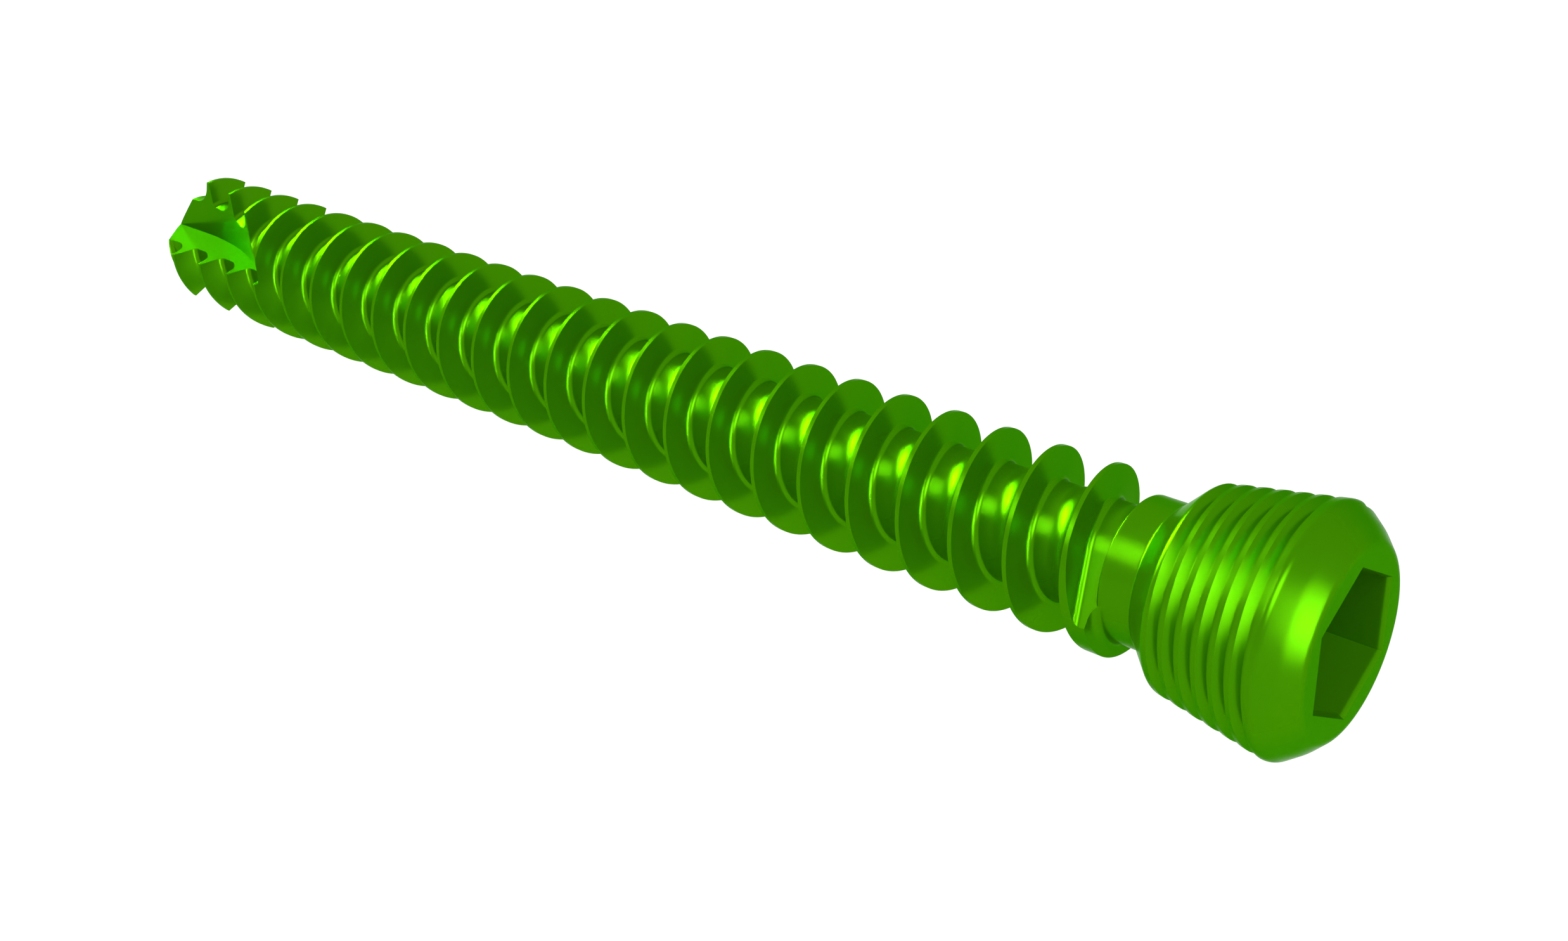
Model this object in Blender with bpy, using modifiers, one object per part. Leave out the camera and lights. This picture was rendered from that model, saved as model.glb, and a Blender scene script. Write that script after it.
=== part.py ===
"""Locking bone screw, turned and milled from one bar of titanium, lying on its side.

The screw is built round local Z, from its point at z = 0 to the end of its head, with local +X up.
It is then laid down so that its head's rim and its thread touch the ground, the head towards +X.
"""

from math import acos, atan2, ceil, cos, pi, radians, sin, sqrt, tan

import bmesh
import bpy
from mathutils import Matrix, Vector

MM = 0.001

# Each round surface has this many flats. They lie at the true radius and one of them faces down.
FLATS = 20
STEP = 2 * pi / FLATS
CORNER = 1 / cos(STEP / 2)

# Shank
THREAD_RADIUS = 2.5 * MM
THREAD_LENGTH = 44.56 * MM
POINT_ANGLE = radians(45)
NECK_RADIUS = 2.024 * MM
NECK_LENGTH = 1.074 * MM
SHOULDER_FILLET = 0.25 * MM
NECK_FILLET = 0.16 * MM

# Thread of the shank: a steep flank facing the head, a slanting one facing the point
PITCH = 1.765 * MM
THREAD_PHASE = 2.799 * MM
CREST_WIDTH = 0.135 * MM
CORE_RADIUS = 1.57 * MM
HEAD_FLANK = radians(5.6)
POINT_FLANK = radians(18.9)
HEAD_SIDE_FILLET = 0.18 * MM
POINT_SIDE_FILLET = 0.9 * MM
RUN_OUT_ANGLE = radians(58)

# Flutes that cut the bone, milled in from the point
FLUTES = 3
FLUTE_ANGLE = radians(91.4)
FLUTE_OFFSET = 0.27 * MM
FLUTE_FLOOR = 0.264 * MM
FLUTE_STRAIGHT = 2.384 * MM
FLUTE_CURVE = 10.65 * MM
FLUTE_CURVE_PARTS = 6

# Head
FLARE_ANGLE = radians(45)
HEAD_SMALL_RADIUS = 2.861 * MM
HEAD_LARGE_RADIUS = 3.42 * MM
TAPER_LENGTH = 3.234 * MM
DOME_LENGTH = 0.954 * MM
DOME_BEND = 0.52 * MM
DOME_BEND_RADIUS = 3.02 * MM
FACE_RADIUS = 2.557 * MM
FLARE_FILLET = 0.27 * MM
RIM_FILLET = 0.3 * MM
FACE_FILLET = 0.38 * MM

# Thread of the head, which locks in the plate
HEAD_PITCH = 0.505 * MM
HEAD_THREAD_PHASE = 0.217 * MM
HEAD_THREAD_DEPTH = 0.19 * MM
HEAD_THREAD_ROOT = 0.085 * MM
HEAD_THREAD_FLANK = radians(35)
HEAD_THREAD_START = radians(-63)
HEAD_THREAD_END = radians(6 * 360 - 27)

# Socket for the driver
HEX_ACROSS = 3.54 * MM
HEX_ANGLE = radians(0.8)
HEX_DEPTH = 2.8 * MM
HEX_BEVEL = 0.2 * MM
DRILL_POINT_ANGLE = radians(59)

# Turning tools reach CLEAR past what they cut and milling cutters CLEAR_OF_MILL. After a cut, points
# closer than WELD become one.
CLEAR = 0.1 * MM
CLEAR_OF_MILL = 0.4 * MM
WELD = 0.002 * MM

FLARE_START = THREAD_LENGTH + NECK_LENGTH
TAPER_START = FLARE_START + (HEAD_SMALL_RADIUS - NECK_RADIUS) / tan(FLARE_ANGLE)
TAPER_END = TAPER_START + TAPER_LENGTH
LENGTH = TAPER_END + DOME_LENGTH
TAPER_SLOPE = (HEAD_LARGE_RADIUS - HEAD_SMALL_RADIUS) / TAPER_LENGTH


def clear_scene():
    """Remove every object of the scene."""
    for item in list(bpy.data.objects):
        bpy.data.objects.remove(item, do_unlink=True)


def add_collection(name):
    """A new collection in the scene."""
    group = bpy.data.collections.new(name)
    bpy.context.scene.collection.children.link(group)
    return group


def rounded(before, corner, after, radius, segments):
    """The points of a fillet that replaces a corner of an outline."""
    corner = Vector(corner)
    back = (Vector(before) - corner).normalized()
    ahead = (Vector(after) - corner).normalized()
    half = acos(back.dot(ahead)) / 2
    centre = corner + (back + ahead).normalized() * radius / sin(half)
    first = corner + back * radius / tan(half) - centre
    last = corner + ahead * radius / tan(half) - centre
    part = -first.angle_signed(last) / segments
    return [centre + Matrix.Rotation(part * index, 2) @ first for index in range(segments + 1)]


def outline(points, fillets):
    """A polyline whose inner corners are rounded, each with its radius and number of segments."""
    result = [Vector(points[0])]
    for index, (radius, segments) in enumerate(fillets, 1):
        if radius:
            result += rounded(points[index - 1], points[index], points[index + 1], radius, segments)
        else:
            result.append(Vector(points[index]))
    result.append(Vector(points[-1]))
    return result


def blank_profile():
    """The turned outline as points of z and radius, from the point of the screw to its end face."""
    points = [
        (0, 0),
        (THREAD_RADIUS / tan(POINT_ANGLE), THREAD_RADIUS),
        (THREAD_LENGTH, THREAD_RADIUS),
        (THREAD_LENGTH, NECK_RADIUS),
        (FLARE_START, NECK_RADIUS),
        (TAPER_START, HEAD_SMALL_RADIUS),
        (TAPER_END, HEAD_LARGE_RADIUS),
        (TAPER_END + DOME_BEND, DOME_BEND_RADIUS),
        (LENGTH, FACE_RADIUS),
        (LENGTH, 0),
    ]
    fillets = [
        (0, 0),
        (0, 0),
        (SHOULDER_FILLET, 2),
        (NECK_FILLET, 1),
        (FLARE_FILLET, 2),
        (RIM_FILLET, 3),
        (0, 0),
        (FACE_FILLET, 2),
    ]
    return outline(points, fillets)


def turned(name, profile, group):
    """A solid of revolution round Z whose flats lie at the profile's radius."""
    mesh = bpy.data.meshes.new(name)
    turn = Matrix.Rotation(STEP / 2, 3, "Z")
    points = [turn @ Vector((radius * CORNER, 0, z)) for z, radius in reversed(profile)]
    mesh.from_pydata(points, [(index, index + 1) for index in range(len(points) - 1)], [])
    item = bpy.data.objects.new(name, mesh)
    group.objects.link(item)
    spin = item.modifiers.new("turning", "SCREW")
    spin.steps = FLATS
    spin.render_steps = FLATS
    spin.use_merge_vertices = True
    spin.merge_threshold = 0.001 * MM
    return item


def lofted(name, rings, group):
    """A closed solid through rings of points, with both ends capped."""
    mesh = bpy.data.meshes.new(name)
    shape = bmesh.new()
    rows = [[shape.verts.new(point) for point in ring] for ring in rings]
    for row, following in zip(rows, rows[1:]):
        for index in range(len(row)):
            beside = (index + 1) % len(row)
            shape.faces.new((row[index], row[beside], following[beside], following[index]))
    shape.faces.new(reversed(rows[0]))
    shape.faces.new(rows[-1])
    if shape.calc_volume(signed=True) < 0:
        bmesh.ops.reverse_faces(shape, faces=shape.faces)
    shape.to_mesh(mesh)
    shape.free()
    item = bpy.data.objects.new(name, mesh)
    group.objects.link(item)
    return item


def on_ring(angle, radius, z):
    """A point at a corner of the flats, or between two of them."""
    return Vector((radius * CORNER * cos(angle), radius * CORNER * sin(angle), z))


def groove_section():
    """The shank's groove between two crests, as points of distance along the screw and radius."""
    depth = THREAD_RADIUS - CORE_RADIUS
    points = [
        (CREST_WIDTH - CLEAR * tan(HEAD_FLANK), THREAD_RADIUS + CLEAR),
        (CREST_WIDTH + depth * tan(HEAD_FLANK), CORE_RADIUS),
        (PITCH - depth * tan(POINT_FLANK), CORE_RADIUS),
        (PITCH + CLEAR * tan(POINT_FLANK), THREAD_RADIUS + CLEAR),
    ]
    return outline(points, [(HEAD_SIDE_FILLET, 1), (POINT_SIDE_FILLET, 2)])


def thread_cutter(group):
    """The helical groove of the shank, which leaves the shank along a straight tangent."""
    section = groove_section()
    lead = PITCH / (2 * pi)
    first_turn = -ceil(THREAD_PHASE / PITCH) - 1
    last_turn = int((THREAD_LENGTH - THREAD_PHASE - lead * RUN_OUT_ANGLE) / PITCH)
    start = STEP / 2
    end = 2 * pi * (last_turn - first_turn) + RUN_OUT_ANGLE
    count = int((end - start) / STEP)
    angles = [start + STEP * index for index in range(count + 1)] + [end]
    base = THREAD_PHASE + first_turn * PITCH
    rings = [[on_ring(angle, r, base + lead * angle + along) for along, r in section] for angle in angles]
    reach = sqrt((THREAD_RADIUS + CLEAR) ** 2 - CORE_RADIUS**2) * CORNER + CLEAR_OF_MILL
    tangent = Vector((-sin(end), cos(end), lead / CORE_RADIUS)) * reach
    rings.append([point + tangent for point in rings[-1]])
    return lofted("thread_groove", rings, group)


def head_groove_section():
    """The head's groove as points of distance along the screw and depth under the taper."""
    root = HEAD_THREAD_ROOT / 2
    side = root + (HEAD_THREAD_DEPTH + CLEAR) * tan(HEAD_THREAD_FLANK)
    return [(-side, -CLEAR), (-root, HEAD_THREAD_DEPTH), (root, HEAD_THREAD_DEPTH), (side, -CLEAR)]


def head_thread_cutter(group):
    """The fine helical groove of the tapered head."""
    rings = []
    count = ceil((HEAD_THREAD_END - HEAD_THREAD_START) / STEP)
    for index in range(count + 1):
        angle = min(HEAD_THREAD_START + STEP * index, HEAD_THREAD_END)
        centre = HEAD_THREAD_PHASE + HEAD_PITCH * angle / (2 * pi)
        ring = []
        for along, depth in head_groove_section():
            radius = HEAD_SMALL_RADIUS + (centre + along) * TAPER_SLOPE - depth
            ring.append(on_ring(angle, radius, TAPER_START + centre + along))
        rings.append(ring)
    return lofted("head_thread_groove", rings, group)


def flute_cutter(index, group):
    """One flute: a flat cutting face and a floor that curves out to the surface."""
    depth = THREAD_RADIUS + CLEAR_OF_MILL - FLUTE_FLOOR
    sweep = acos(1 - depth / FLUTE_CURVE)
    side = [(-CLEAR_OF_MILL, FLUTE_FLOOR)]
    for part in range(FLUTE_CURVE_PARTS + 1):
        turn = sweep * part / FLUTE_CURVE_PARTS
        side.append((FLUTE_STRAIGHT + FLUTE_CURVE * sin(turn), FLUTE_FLOOR + FLUTE_CURVE * (1 - cos(turn))))
    side.append((-CLEAR_OF_MILL, FLUTE_FLOOR + depth))
    angle = FLUTE_ANGLE + 2 * pi * index / FLUTES
    out = Vector((cos(angle), sin(angle), 0))
    across = Vector((sin(angle), -cos(angle), 0))
    near = [out * height + across * FLUTE_OFFSET + Vector((0, 0, z)) for z, height in side]
    far = [point + across * 2 * THREAD_RADIUS for point in near]
    return lofted(f"flute_{index + 1}", [near, far], group)


def socket_cutters(group):
    """The hexagonal socket, its drilled bottom and the bevel round its mouth."""
    hex_radius = HEX_ACROSS / 2 / cos(pi / 6)
    floor = LENGTH - HEX_DEPTH
    drill_height = HEX_ACROSS / 2 / tan(DRILL_POINT_ANGLE)
    mouth_radius = hex_radius + (HEX_BEVEL + CLEAR) / cos(pi / 6)
    turn = HEX_ANGLE + pi / 2
    bpy.ops.mesh.primitive_cylinder_add(
        vertices=6,
        radius=hex_radius,
        depth=HEX_DEPTH + CLEAR,
        location=(0, 0, floor + (HEX_DEPTH + CLEAR) / 2),
        rotation=(0, 0, turn),
    )
    hexagon = bpy.context.object
    hexagon.name = "socket"
    bpy.ops.mesh.primitive_cone_add(
        vertices=6,
        radius1=hex_radius,
        radius2=mouth_radius,
        depth=HEX_BEVEL + CLEAR,
        location=(0, 0, LENGTH - (HEX_BEVEL - CLEAR) / 2),
        rotation=(0, 0, turn),
    )
    bevel = bpy.context.object
    bevel.name = "socket_bevel"
    bpy.ops.mesh.primitive_cone_add(
        vertices=FLATS,
        radius1=0,
        radius2=HEX_ACROSS / 2 - CLEAR,
        depth=drill_height,
        location=(0, 0, floor - drill_height / 2 + CLEAR),
    )
    drill = bpy.context.object
    drill.name = "socket_drill_point"
    for item in (hexagon, bevel, drill):
        for owner in list(item.users_collection):
            owner.objects.unlink(item)
        group.objects.link(item)
    return [hexagon, bevel, drill]


def cut(item, cutter):
    """Subtract a cutter from an object."""
    tool = item.modifiers.new(cutter.name, "BOOLEAN")
    tool.operation = "DIFFERENCE"
    tool.solver = "EXACT"
    tool.object = cutter
    tidy = item.modifiers.new(f"{cutter.name}_weld", "WELD")
    tidy.merge_threshold = WELD
    cutter.hide_render = True
    cutter.display_type = "WIRE"


def anodised_titanium():
    """Bright green anodised metal."""
    material = bpy.data.materials.new("green_anodised_titanium")
    material.use_nodes = True
    surface = material.node_tree.nodes["Principled BSDF"]
    surface.inputs["Base Color"].default_value = (0.13, 0.42, 0.005, 1)
    surface.inputs["Metallic"].default_value = 1.0
    surface.inputs["Roughness"].default_value = 0.25
    return material


def resting_matrix():
    """Where the screw lies: on its thread just behind the flutes and on its head's rim."""
    sweep = acos(1 - (THREAD_RADIUS - FLUTE_FLOOR) / FLUTE_CURVE)
    flutes_end = FLUTE_STRAIGHT + FLUTE_CURVE * sin(sweep)
    half_turn = THREAD_PHASE + PITCH / 2
    crest = half_turn + ceil((flutes_end - half_turn) / PITCH) * PITCH - STEP / (4 * pi) * PITCH
    tilt = max(atan2(r - THREAD_RADIUS, z - crest) for z, r in blank_profile() if z > THREAD_LENGTH)
    axis = Vector((cos(tilt), 0, sin(tilt)))
    up = Vector((-sin(tilt), 0, cos(tilt)))
    length_along_x = LENGTH * axis.x - FACE_RADIUS * up.x
    height = THREAD_RADIUS * up.z - crest * axis.z
    place = Matrix((up, axis.cross(up), axis)).transposed().to_4x4()
    place.translation = (-length_along_x / 2, 0, height)
    return place


def build():
    """Turn the blank, cut it and lay the screw down."""
    clear_scene()
    parts = add_collection("bone_screw")
    cutters = add_collection("cutters")
    screw = turned("bone_screw", blank_profile(), parts)
    screw.data.materials.append(anodised_titanium())
    for cutter in socket_cutters(cutters):
        cut(screw, cutter)
    for index in range(FLUTES):
        cut(screw, flute_cutter(index, cutters))
    cut(screw, thread_cutter(cutters))
    cut(screw, head_thread_cutter(cutters))
    place = resting_matrix()
    for item in [screw, *cutters.objects]:
        item.matrix_world = place @ item.matrix_basis
    screw.data.shade_smooth()


build()
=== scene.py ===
"""A locking bone screw of green anodised titanium, lying on a pale table in soft studio light."""

from math import acos, ceil, cos, pi, radians, sin, tan

import bpy
from mathutils import Matrix, Vector


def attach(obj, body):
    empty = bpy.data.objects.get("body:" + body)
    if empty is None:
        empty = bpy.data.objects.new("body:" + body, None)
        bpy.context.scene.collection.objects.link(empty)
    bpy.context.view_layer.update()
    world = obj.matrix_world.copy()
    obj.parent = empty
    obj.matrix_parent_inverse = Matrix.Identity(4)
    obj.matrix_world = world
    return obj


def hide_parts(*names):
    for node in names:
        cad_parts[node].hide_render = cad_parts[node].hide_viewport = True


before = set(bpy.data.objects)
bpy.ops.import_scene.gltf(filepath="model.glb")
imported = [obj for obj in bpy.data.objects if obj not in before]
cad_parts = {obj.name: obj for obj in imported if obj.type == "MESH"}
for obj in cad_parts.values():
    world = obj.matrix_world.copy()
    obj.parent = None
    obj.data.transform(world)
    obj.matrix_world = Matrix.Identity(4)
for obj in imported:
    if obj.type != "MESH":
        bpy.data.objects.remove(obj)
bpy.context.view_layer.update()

MM = 0.001

# Parts of a full turn in the screw's round surfaces, and the points of one face of a wound piece
ROUND = 128
SIDE_FACE_POINTS = 4

# A fillet is its radius and the steps of its arc
SHARP = (0, 0)

# Shank, from its point at z = 0
THREAD_RADIUS = 2.5 * MM
THREAD_LENGTH = 44.56 * MM
POINT_ANGLE = radians(45)
NECK_RADIUS = 2.024 * MM
NECK_LENGTH = 1.074 * MM
SHOULDER_FILLET = (0.25 * MM, 8)
NECK_FILLET = (0.16 * MM, 5)

# Thread of the shank, its way out at the head's end, and the plain collar beyond it
PITCH = 1.765 * MM
THREAD_PHASE = 2.799 * MM
CREST_WIDTH = 0.135 * MM
CORE_RADIUS = 1.57 * MM
HEAD_FLANK = radians(5.6)
POINT_FLANK = radians(18.9)
HEAD_SIDE_FILLET = (0.184 * MM, 6)
POINT_SIDE_FILLET = (0.95 * MM, 8)
RUN_OUT_ANGLE = radians(58)
RUN_OUT_REACH = 2.6 * MM
COLLAR_START = 44.65 * MM
COLLAR_FILLET = (0.06 * MM, 4)

# Flutes
FLUTES = 3
FLUTE_ANGLE = radians(91.4)
FLUTE_OFFSET = 0.27 * MM
FLUTE_FLOOR = 0.264 * MM
FLUTE_STRAIGHT = 2.384 * MM
FLUTE_CURVE = 10.65 * MM
FLUTE_CURVE_STEPS = 48

# Head
FLARE_ANGLE = radians(45)
HEAD_SMALL_RADIUS = 2.861 * MM
HEAD_LARGE_RADIUS = 3.42 * MM
TAPER_LENGTH = 3.234 * MM
DOME_LENGTH = 0.954 * MM
DOME_BEND = 0.52 * MM
DOME_BEND_RADIUS = 3.02 * MM
FACE_RADIUS = 2.557 * MM
FLARE_FILLET = (0.27 * MM, 6)
RIM_FILLET = (0.3 * MM, 8)
DOME_FILLET = (1.5 * MM, 4)
FACE_FILLET = (0.38 * MM, 8)

# Thread of the head
HEAD_PITCH = 0.505 * MM
HEAD_THREAD_PHASE = 0.217 * MM
HEAD_THREAD_LAND = 0.135 * MM
HEAD_THREAD_DEPTH = 0.24 * MM
HEAD_THREAD_SLOPE = radians(41.5)
HEAD_THREAD_SLOPE_FILLET = (0.05 * MM, 5)
HEAD_THREAD_WALL_FILLET = (0.03 * MM, 5)
HEAD_THREAD_START = radians(-63)
HEAD_THREAD_END = radians(6 * 360 - 30)

# Socket for the driver
HEX_SIDES = 6
HEX_ACROSS = 3.54 * MM
HEX_ANGLE = radians(90.8)
HEX_DEPTH = 2.8 * MM
HEX_BEVEL_DEPTH = 0.2 * MM
HEX_BEVEL_WIDTH = 0.095 * MM
DRILL_POINT_ANGLE = radians(59)

# How the screw lies: the lift of its head, and where its point comes
TILT = 0.022104
POINT_PLACE = (-25.35157 * MM, 0, 2.30197 * MM)

# How far the tools reach past the metal, and how near points are merged
CLEAR = 0.1 * MM
MILL_CLEAR = 0.4 * MM
DRILL_OVERLAP = 0.025 * MM
WELD = 0.001 * MM
FINE_WELD = 0.0001 * MM

# Edges sharper than this stay sharp in the shading
SHARP_EDGE_ANGLE = radians(28)

# Finish: the oxide layer's two greens in patches, then tool marks and etched grain, all per metre
THIN_LAYER_GREEN = (0.036, 0.186, 0.0004, 1)
THICK_LAYER_GREEN = (0.043, 0.2, 0.0006, 1)
GLANCING_TINT = (0.4, 0.6, 0.35, 1)
METAL_SHARE = 0.72
LAYER_SCALE = 260
LAYER_DETAIL = 2
TOOL_MARK_SCALE = 16000
ETCH_SCALE = 9000
RELIEF_DETAIL = 3
RELIEF_DEPTH = 0.00000012
RELIEF_RANGE = (0.6, 1.4)
ROUGHNESS_RANGE = (0.17, 0.23)

# Table: the glow is the share of plain white that is seen in place of its lit surface
TABLE_RADIUS = 0.6
TABLE_SIDES = 64
TABLE_COLOUR = (0.9, 0.9, 0.9, 1)
TABLE_ROUGHNESS = 0.8
TABLE_GLOW = 0.8

# Room: its light on the object, up to the white that is seen
ROOM_RANGE = (0.15, 1)

# Lamps: name, compass angle from +X, height, width, level and whether it casts shadows.
# A lamp's face runs from nought to one both ways, so its middle is half, and half from its edge.
LAMP_DISTANCE = 0.5
LAMP_MIDDLE = 0.5
LAMPS = [
    ("point_side_lamp", radians(176), radians(24), 0.53, 29, False),
    ("head_side_lamp", radians(-10), radians(11), 0.577, 9.5, False),
    ("upper_lamp", radians(-53), radians(46), 0.53, 9.5, True),
    ("side_lamp", radians(-126), radians(43), 0.424, 4.8, False),
]

# Camera, where the photograph was taken from
CAMERA_PLACE = (0.040718, -0.038804, 0.027756)
CAMERA_TURN = (radians(64.5662), radians(-0.1002), radians(41.5848))
CAMERA_LENS = 43.514
CAMERA_SENSOR = 36
CAMERA_SHIFT = (0.010106, -0.023971)
CAMERA_NEAREST = 0.001
CAMERA_FURTHEST = 10

FLARE_START = THREAD_LENGTH + NECK_LENGTH
TAPER_START = FLARE_START + (HEAD_SMALL_RADIUS - NECK_RADIUS) / tan(FLARE_ANGLE)
TAPER_END = TAPER_START + TAPER_LENGTH
LENGTH = TAPER_END + DOME_LENGTH
TAPER_SLOPE = (HEAD_LARGE_RADIUS - HEAD_SMALL_RADIUS) / TAPER_LENGTH


def select_only(piece):
    """Select one piece and make it the active one."""
    bpy.ops.object.select_all(action="DESELECT")
    piece.select_set(True)
    bpy.context.view_layer.objects.active = piece


def extrude(step):
    """Extrude what is selected by a step."""
    bpy.ops.mesh.extrude_region_move(TRANSFORM_OT_translate={"value": step})


def line_to(here, there):
    """Draw a straight line from the selected point."""
    extrude(there - here)
    return there


def arc_about(centre, here, there, steps):
    """Draw an arc from the selected point, round a centre."""
    first = here - centre
    last = there - centre
    bpy.ops.mesh.spin(
        steps=steps,
        angle=first.angle(last),
        center=centre,
        axis=last.cross(first).normalized(),
        use_auto_merge=False,
    )
    return there


def drawn(name, corners):
    """Draw an outline in the XZ plane, from corners of x, z and fillet."""
    points = [Vector((x, 0, z)) for x, z, _ in corners]
    bpy.ops.object.select_all(action="DESELECT")
    bpy.ops.mesh.primitive_plane_add(size=MM)
    piece = bpy.context.object
    piece.name = name
    bpy.ops.object.mode_set(mode="EDIT")
    bpy.ops.mesh.select_mode(type="VERT")
    bpy.ops.mesh.merge(type="CENTER")
    bpy.ops.transform.translate(value=points[0])
    here = points[0]
    for index in range(1, len(points) - 1):
        corner = points[index]
        radius, steps = corners[index][2]
        if not radius:
            here = line_to(here, corner)
            continue
        back = (points[index - 1] - corner).normalized()
        ahead = (points[index + 1] - corner).normalized()
        half = back.angle(ahead) / 2
        centre = corner + (back + ahead).normalized() * radius / sin(half)
        here = line_to(here, corner + back * radius / tan(half))
        here = arc_about(centre, here, corner + ahead * radius / tan(half), steps)
    line_to(here, points[-1])
    return piece


def close_outline(face=False):
    """Join the last point of a drawing to its first, with or without a face inside."""
    bpy.ops.mesh.select_all(action="SELECT")
    bpy.ops.mesh.edge_face_add()
    if not face:
        bpy.ops.mesh.delete(type="ONLY_FACE")


def finish_solid():
    """Merge doubles, turn the faces outwards and leave edit mode."""
    bpy.ops.mesh.select_all(action="SELECT")
    bpy.ops.mesh.remove_doubles(threshold=FINE_WELD)
    bpy.ops.mesh.normals_make_consistent(inside=False)
    bpy.ops.object.mode_set(mode="OBJECT")


def turn_outline():
    """Spin an outline round Z into a closed solid."""
    bpy.ops.mesh.select_all(action="SELECT")
    bpy.ops.mesh.spin(
        steps=ROUND,
        angle=2 * pi,
        center=(0, 0, 0),
        axis=(0, 0, 1),
        use_auto_merge=False,
    )
    finish_solid()


def wind(piece, angle, rise):
    """Sweep a closed outline along a right-handed helix round Z."""
    bpy.ops.object.mode_set(mode="OBJECT")
    bpy.ops.object.modifier_add(type="SCREW")
    helix = piece.modifiers[-1]
    helix.axis = "Z"
    helix.angle = angle
    helix.screw_offset = rise
    helix.steps = round(angle / (2 * pi) * ROUND)
    helix.render_steps = helix.steps
    bpy.ops.object.modifier_apply(modifier=helix.name)
    bpy.ops.object.mode_set(mode="EDIT")


def cap_ends(piece):
    """Close both ends of a wound piece, and leave the last end selected."""
    bpy.ops.mesh.select_all(action="SELECT")
    bpy.ops.mesh.fill_holes(sides=0)
    bpy.ops.mesh.normals_make_consistent(inside=False)
    bpy.ops.mesh.select_mode(type="FACE")
    bpy.ops.mesh.select_all(action="DESELECT")
    bpy.ops.object.mode_set(mode="OBJECT")
    caps = [face for face in piece.data.polygons if len(face.vertices) > SIDE_FACE_POINTS]
    max(caps, key=lambda face: face.center.z).select = True
    bpy.ops.object.mode_set(mode="EDIT")


def turn_piece(piece, angle):
    """Turn a piece round Z."""
    bpy.ops.object.mode_set(mode="OBJECT")
    piece.rotation_euler.z = angle
    bpy.ops.object.transform_apply(location=False, rotation=True, scale=False)


def cut(piece, tool):
    """Cut a tool's shape out of the piece."""
    select_only(piece)
    bpy.ops.object.modifier_add(type="BOOLEAN")
    cutting = piece.modifiers[-1]
    cutting.operation = "DIFFERENCE"
    cutting.solver = "EXACT"
    cutting.object = tool
    bpy.ops.object.modifier_apply(modifier=cutting.name)
    bpy.data.objects.remove(tool)
    bpy.ops.object.mode_set(mode="EDIT")
    bpy.ops.mesh.select_all(action="SELECT")
    bpy.ops.mesh.remove_doubles(threshold=WELD)
    bpy.ops.object.mode_set(mode="OBJECT")


def turned_blank():
    """The bar turned to the screw's outline, before any thread, flute or socket."""
    piece = drawn("bone_screw_metal", [
        (0, 0, SHARP),
        (THREAD_RADIUS, THREAD_RADIUS / tan(POINT_ANGLE), SHARP),
        (THREAD_RADIUS, THREAD_LENGTH, SHARP),
        (NECK_RADIUS, THREAD_LENGTH, SHOULDER_FILLET),
        (NECK_RADIUS, FLARE_START, NECK_FILLET),
        (HEAD_SMALL_RADIUS, TAPER_START, FLARE_FILLET),
        (HEAD_LARGE_RADIUS, TAPER_END, RIM_FILLET),
        (DOME_BEND_RADIUS, TAPER_END + DOME_BEND, DOME_FILLET),
        (FACE_RADIUS, LENGTH, FACE_FILLET),
        (0, LENGTH, SHARP),
    ])
    turn_outline()
    return piece


def neck_collar():
    """The bar left whole at the neck, where the thread's tool no longer cuts."""
    radius = NECK_RADIUS + WELD
    piece = drawn("neck_collar", [
        (0, COLLAR_START, SHARP),
        (radius, COLLAR_START, COLLAR_FILLET),
        (radius, FLARE_START, SHARP),
        (THREAD_RADIUS, FLARE_START + THREAD_RADIUS - NECK_RADIUS, SHARP),
        (0, TAPER_END, SHARP),
    ])
    turn_outline()
    return piece


def thread_groove():
    """The tool's path between two crests of the shank, with its straight way out."""
    depth = THREAD_RADIUS - CORE_RADIUS
    lead = PITCH / (2 * pi)
    turns = int((THREAD_LENGTH - THREAD_PHASE - lead * RUN_OUT_ANGLE) / PITCH)
    turns_before = ceil(THREAD_PHASE / PITCH) + 1
    start = THREAD_PHASE - turns_before * PITCH + lead * RUN_OUT_ANGLE
    piece = drawn("thread_groove", [
        (THREAD_RADIUS + CLEAR, start + CREST_WIDTH - CLEAR * tan(HEAD_FLANK), SHARP),
        (CORE_RADIUS, start + CREST_WIDTH + depth * tan(HEAD_FLANK), HEAD_SIDE_FILLET),
        (CORE_RADIUS, start + PITCH - depth * tan(POINT_FLANK), POINT_SIDE_FILLET),
        (THREAD_RADIUS + CLEAR, start + PITCH + CLEAR * tan(POINT_FLANK), SHARP),
    ])
    close_outline()
    turns += turns_before
    wind(piece, 2 * pi * turns, PITCH * turns)
    cap_ends(piece)
    extrude((0, RUN_OUT_REACH, RUN_OUT_REACH * lead / CORE_RADIUS))
    finish_solid()
    turn_piece(piece, RUN_OUT_ANGLE)
    cut(piece, neck_collar())
    return piece


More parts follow.
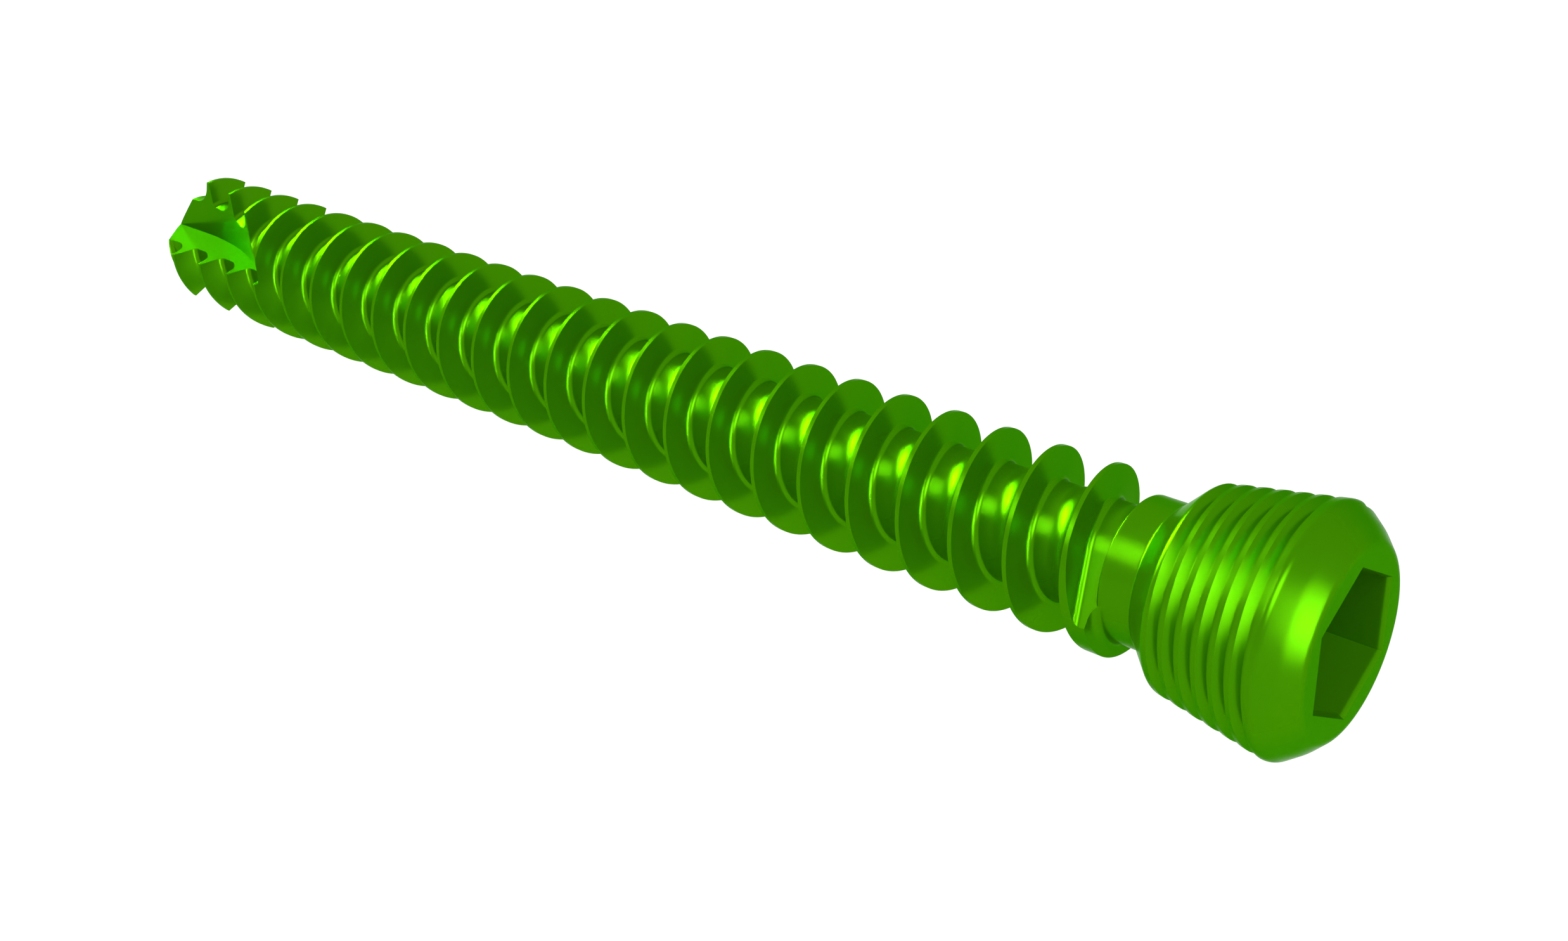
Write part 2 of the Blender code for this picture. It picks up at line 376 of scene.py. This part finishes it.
def head_groove():
    """The tool's path round the tapered head: a long slope down from each land to a steep wall."""
    sweep = HEAD_THREAD_END - HEAD_THREAD_START
    middle = TAPER_START + HEAD_THREAD_PHASE + HEAD_PITCH * HEAD_THREAD_START / (2 * pi)
    top = HEAD_SMALL_RADIUS + CLEAR
    floor = HEAD_SMALL_RADIUS - HEAD_THREAD_DEPTH
    slope_edge = middle - (HEAD_PITCH - HEAD_THREAD_LAND) / 2
    slope_foot = slope_edge + HEAD_THREAD_DEPTH * tan(HEAD_THREAD_SLOPE)
    wall = middle + (HEAD_PITCH - HEAD_THREAD_LAND) / 2
    piece = drawn("head_groove", [
        (top, slope_edge - CLEAR * tan(HEAD_THREAD_SLOPE), SHARP),
        (floor, slope_foot, HEAD_THREAD_SLOPE_FILLET),
        (floor, wall, HEAD_THREAD_WALL_FILLET),
        (top, wall, SHARP),
    ])
    close_outline()
    wind(piece, sweep, HEAD_PITCH * sweep / (2 * pi))
    cap_ends(piece)
    finish_solid()
    for vertex in piece.data.vertices:
        radius = vertex.co.xy.length
        vertex.co.xy *= 1 + (vertex.co.z - TAPER_START) * TAPER_SLOPE / radius
    turn_piece(piece, HEAD_THREAD_START)
    return piece


def flute(index):
    """One milled flute: a flat cutting face and a floor that curves out to the surface."""
    depth = THREAD_RADIUS + MILL_CLEAR - FLUTE_FLOOR
    sweep = acos(1 - depth / FLUTE_CURVE)
    out = FLUTE_FLOOR + depth
    bend = Vector((FLUTE_FLOOR, 0, FLUTE_STRAIGHT))
    centre = Vector((FLUTE_FLOOR + FLUTE_CURVE, 0, FLUTE_STRAIGHT))
    surface = Vector((out, 0, FLUTE_STRAIGHT + FLUTE_CURVE * sin(sweep)))
    piece = drawn("flute", [
        (out, -MILL_CLEAR, SHARP),
        (FLUTE_FLOOR, -MILL_CLEAR, SHARP),
        (FLUTE_FLOOR, FLUTE_STRAIGHT, SHARP),
    ])
    arc_about(centre, bend, surface, FLUTE_CURVE_STEPS)
    close_outline(face=True)
    bpy.ops.transform.translate(value=(0, -FLUTE_OFFSET, 0))
    extrude((0, -2 * THREAD_RADIUS, 0))
    finish_solid()
    turn_piece(piece, FLUTE_ANGLE + 2 * pi * index / FLUTES)
    return piece


def socket():
    """The hexagonal socket with its bevelled mouth."""
    bpy.ops.object.select_all(action="DESELECT")
    bpy.ops.mesh.primitive_circle_add(
        vertices=HEX_SIDES,
        radius=HEX_ACROSS / 2 / cos(pi / HEX_SIDES),
        fill_type="NGON",
        location=(0, 0, LENGTH - HEX_DEPTH),
    )
    piece = bpy.context.object
    piece.name = "socket"
    bpy.ops.object.transform_apply()
    bpy.ops.object.mode_set(mode="EDIT")
    bpy.ops.mesh.select_all(action="SELECT")
    extrude((0, 0, HEX_DEPTH - HEX_BEVEL_DEPTH))
    extrude((0, 0, HEX_BEVEL_DEPTH + CLEAR))
    wider = 1 + HEX_BEVEL_WIDTH * (1 + CLEAR / HEX_BEVEL_DEPTH) / (HEX_ACROSS / 2)
    bpy.ops.transform.resize(value=(wider, wider, 1), center_override=(0, 0, 0))
    finish_solid()
    turn_piece(piece, HEX_ANGLE)
    return piece


def drill_point():
    """The cone that the drill leaves under the socket."""
    radius = HEX_ACROSS / 2 - CLEAR
    height = radius / tan(DRILL_POINT_ANGLE)
    bpy.ops.mesh.primitive_cone_add(
        vertices=ROUND,
        radius1=0,
        radius2=radius,
        depth=height,
        location=(0, 0, LENGTH - HEX_DEPTH - height / 2 + DRILL_OVERLAP),
    )
    piece = bpy.context.object
    piece.name = "drill_point"
    bpy.ops.object.transform_apply()
    return piece


def lay_down(piece):
    """Lay the screw on its thread and its head's rim, the head towards +X."""
    across = Vector((cos(TILT), 0, sin(TILT)))
    up = Vector((-sin(TILT), 0, cos(TILT)))
    place = Matrix((up, across.cross(up), across)).transposed().to_4x4()
    place.translation = POINT_PLACE
    piece.matrix_world = place
    select_only(piece)
    bpy.ops.object.transform_apply()


def smooth(piece):
    """Shade curved faces smoothly and keep flat ones flat."""
    bpy.ops.object.shade_smooth_by_angle(angle=SHARP_EDGE_ANGLE)
    bpy.ops.object.modifier_add(type="WEIGHTED_NORMAL")
    weighting = piece.modifiers[-1]
    weighting.keep_sharp = True
    bpy.ops.object.modifier_apply(modifier=weighting.name)


def bone_screw():
    """The whole screw, turned, milled and threaded."""
    piece = turned_blank()
    cut(piece, socket())
    cut(piece, drill_point())
    for index in range(FLUTES):
        cut(piece, flute(index))
    cut(piece, thread_groove())
    cut(piece, head_groove())
    lay_down(piece)
    smooth(piece)
    return piece


def new_material(name):
    """Start a material, and return it with its nodes, its links and its shader."""
    material = bpy.data.materials.new(name)
    material.use_nodes = True
    nodes = material.node_tree.nodes
    return material, nodes, material.node_tree.links, nodes["Principled BSDF"]


def noise(nodes, links, place, scale, detail):
    """Add a noise texture at a place and scale, and return its value."""
    texture = nodes.new("ShaderNodeTexNoise")
    texture.inputs["Scale"].default_value = scale
    texture.inputs["Detail"].default_value = detail
    links.new(place, texture.inputs["Vector"])
    return texture.outputs["Fac"]


def combined(nodes, links, operation, first, second):
    """Combine two values in a Math node, and return its result."""
    combining = nodes.new("ShaderNodeMath")
    combining.operation = operation
    links.new(first, combining.inputs[0])
    links.new(second, combining.inputs[1])
    return combining.outputs[0]


def ranged(nodes, links, value, given, wanted, ease="LINEAR"):
    """Carry a value from a given range to the wanted one, and return it."""
    ranging = nodes.new("ShaderNodeMapRange")
    ranging.interpolation_type = ease
    ranging.inputs["From Min"].default_value, ranging.inputs["From Max"].default_value = given
    ranging.inputs["To Min"].default_value, ranging.inputs["To Max"].default_value = wanted
    links.new(value, ranging.inputs["Value"])
    return ranging.outputs[0]


def anodised_titanium():
    """Green anodised titanium: an oxide layer over fine turned rings and an etched grain."""
    material, nodes, links, surface = new_material("green_anodised_titanium")
    surface.inputs["Metallic"].default_value = METAL_SHARE
    surface.inputs["Specular IOR Level"].default_value = 0
    surface.inputs["Specular Tint"].default_value = GLANCING_TINT
    place = nodes.new("ShaderNodeTexCoord")
    along = nodes.new("ShaderNodeMapping")
    along.inputs["Rotation"].default_value = (0, TILT, 0)
    links.new(place.outputs["Object"], along.inputs["Vector"])

    colour = nodes.new("ShaderNodeMix")
    colour.data_type = "RGBA"
    colour.inputs["A"].default_value = THIN_LAYER_GREEN
    colour.inputs["B"].default_value = THICK_LAYER_GREEN
    layer = noise(nodes, links, along.outputs[0], LAYER_SCALE, LAYER_DETAIL)
    links.new(layer, colour.inputs["Factor"])
    links.new(colour.outputs["Result"], surface.inputs["Base Color"])

    axis = nodes.new("ShaderNodeSeparateXYZ")
    rings = nodes.new("ShaderNodeCombineXYZ")
    links.new(along.outputs[0], axis.inputs[0])
    links.new(axis.outputs["X"], rings.inputs["X"])
    marks = noise(nodes, links, rings.outputs[0], TOOL_MARK_SCALE, RELIEF_DETAIL)
    etched = noise(nodes, links, along.outputs[0], ETCH_SCALE, RELIEF_DETAIL)
    relief = combined(nodes, links, "ADD", marks, etched)
    bump = nodes.new("ShaderNodeBump")
    bump.inputs["Strength"].default_value = 1
    bump.inputs["Distance"].default_value = RELIEF_DEPTH
    links.new(relief, bump.inputs["Height"])
    links.new(bump.outputs[0], surface.inputs["Normal"])
    gloss = ranged(nodes, links, relief, RELIEF_RANGE, ROUGHNESS_RANGE)
    links.new(gloss, surface.inputs["Roughness"])
    return material


def seen_or_reflected(nodes, links):
    """One for what is seen, also in a reflection or through glass, and nought for other light."""
    path = nodes.new("ShaderNodeLightPath").outputs
    reflected = combined(nodes, links, "MAXIMUM", path["Is Camera Ray"], path["Is Glossy Ray"])
    return combined(nodes, links, "MAXIMUM", reflected, path["Is Transmission Ray"])


def pale_table():
    """A pale table that the screw lies on."""
    bpy.ops.object.select_all(action="DESELECT")
    bpy.ops.mesh.primitive_circle_add(
        vertices=TABLE_SIDES,
        radius=TABLE_RADIUS,
        fill_type="NGON",
    )
    table = bpy.context.object
    table.name = "table_top"
    material, nodes, links, surface = new_material("pale_table")
    surface.inputs["Base Color"].default_value = TABLE_COLOUR
    surface.inputs["Roughness"].default_value = TABLE_ROUGHNESS
    glow = nodes.new("ShaderNodeEmission")
    blend = nodes.new("ShaderNodeMixShader")
    share = ranged(nodes, links, seen_or_reflected(nodes, links), (0, 1), (0, TABLE_GLOW))
    links.new(share, blend.inputs["Fac"])
    links.new(surface.outputs[0], blend.inputs[1])
    links.new(glow.outputs[0], blend.inputs[2])
    links.new(blend.outputs[0], nodes["Material Output"].inputs["Surface"])
    table.data.materials.append(material)


def bright_room():
    """A white surround for the camera and for reflections, with plain light on the object."""
    world = bpy.data.worlds.new("bright_room")
    bpy.context.scene.world = world
    world.use_nodes = True
    nodes = world.node_tree.nodes
    links = world.node_tree.links
    background = nodes["Background"]
    background.inputs["Color"].default_value = (1, 1, 1, 1)
    level = ranged(nodes, links, seen_or_reflected(nodes, links), (0, 1), ROOM_RANGE)
    links.new(level, background.inputs["Strength"])


def soft_edges():
    """A node group that fades a lamp's light from its middle out to its edges."""
    group = bpy.data.node_groups.new("soft_edges", "ShaderNodeTree")
    group.interface.new_socket("Level", in_out="OUTPUT", socket_type="NodeSocketFloat")
    nodes = group.nodes
    links = group.links
    place = nodes.new("ShaderNodeNewGeometry")
    from_middle = nodes.new("ShaderNodeVectorMath")
    from_middle.operation = "DISTANCE"
    from_middle.inputs[1].default_value = (LAMP_MIDDLE, LAMP_MIDDLE, 0)
    links.new(place.outputs["Parametric"], from_middle.inputs[0])
    away = from_middle.outputs["Value"]
    fade = ranged(nodes, links, away, (LAMP_MIDDLE, 0), (0, 1), ease="SMOOTHSTEP")
    out = nodes.new("NodeGroupOutput")
    links.new(fade, out.inputs["Level"])
    return group


def soft_lamp(fading, name, azimuth, elevation, size, level, shadows):
    """A large soft lamp that faces the screw, with light that fades out to its edges."""
    bpy.ops.object.light_add(type="AREA")
    lamp = bpy.context.object
    lamp.name = name
    lamp.rotation_euler = (pi / 2 - elevation, 0, azimuth + pi / 2)
    along_x = cos(azimuth) * cos(elevation)
    along_y = sin(azimuth) * cos(elevation)
    lamp.location = LAMP_DISTANCE * Vector((along_x, along_y, sin(elevation)))
    lamp.data.size = size
    lamp.data.energy = level * pi * size ** 2
    lamp.data.use_shadow = shadows
    lamp.data.cycles.use_multiple_importance_sampling = shadows
    lamp.data.use_nodes = True
    nodes = lamp.data.node_tree.nodes
    edges = nodes.new("ShaderNodeGroup")
    edges.node_tree = fading
    lamp.data.node_tree.links.new(edges.outputs["Level"], nodes["Emission"].inputs["Strength"])


def camera_at_the_photographs_angle():
    """The camera, where the photograph was taken from."""
    bpy.ops.object.camera_add(location=CAMERA_PLACE)
    camera = bpy.context.object
    camera.rotation_euler = CAMERA_TURN
    camera.data.lens = CAMERA_LENS
    camera.data.sensor_width = CAMERA_SENSOR
    camera.data.shift_x, camera.data.shift_y = CAMERA_SHIFT
    camera.data.clip_start = CAMERA_NEAREST
    camera.data.clip_end = CAMERA_FURTHEST
    bpy.context.scene.camera = camera


screw = bone_screw()
screw.data.materials.append(anodised_titanium())
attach(screw, "root")
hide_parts("bone_screw")
pale_table()
bright_room()
fading = soft_edges()
for lamp in LAMPS:
    soft_lamp(fading, *lamp)
camera_at_the_photographs_angle()
bpy.context.scene.view_settings.view_transform = "Standard"
